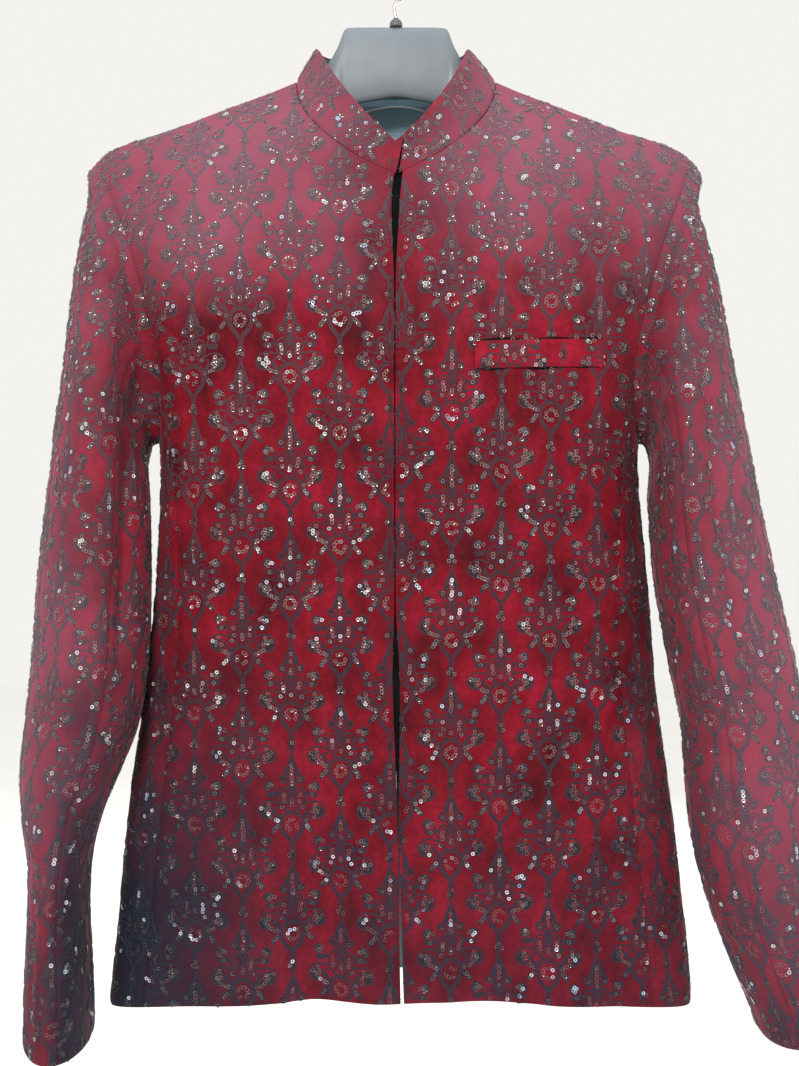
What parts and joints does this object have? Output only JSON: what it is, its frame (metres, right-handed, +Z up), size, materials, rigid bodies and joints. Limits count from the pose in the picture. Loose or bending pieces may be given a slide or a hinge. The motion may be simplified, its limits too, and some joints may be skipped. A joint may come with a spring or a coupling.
{
  "type": "prince coat on a hanger",
  "caption": "Short embroidered velvet coat with a stand-up band collar, closed edge to edge, hanging on a wide-shouldered hanger with a wire hook.",
  "frame": {"origin": "inside the top of the hanger's hook, where a rail carries it", "axes": "+Z up, the coat's front faces -Y, +X towards the wearer's left"},
  "size_m": [0.6069, 0.1765, 0.8182],
  "materials": {
    "velvet": "crimson pile velvet with grey-mauve cord embroidery and clear sequins",
    "lining": "dark teal satin lining",
    "hanger_plastic": "grey moulded plastic",
    "hook_wire": "thin bright wire"
  },
  "bodies": {
    "root": {"front_left": "velvet", "front_right": "velvet", "side_left": "velvet", "side_right": "velvet", "back_left": "velvet", "back_right": "velvet", "sleeve_top_left": "velvet", "sleeve_top_right": "velvet", "sleeve_under_left": "velvet", "sleeve_under_right": "velvet", "collar": "velvet", "chest_welt": "velvet", "collar_lining": "lining", "back_neck_lining": "lining", "fly_underlap": "lining", "hanger_body": "hanger_plastic", "hanger_boss": "hanger_plastic", "hanger_hook": "hook_wire"}
  },
  "joints": []
}
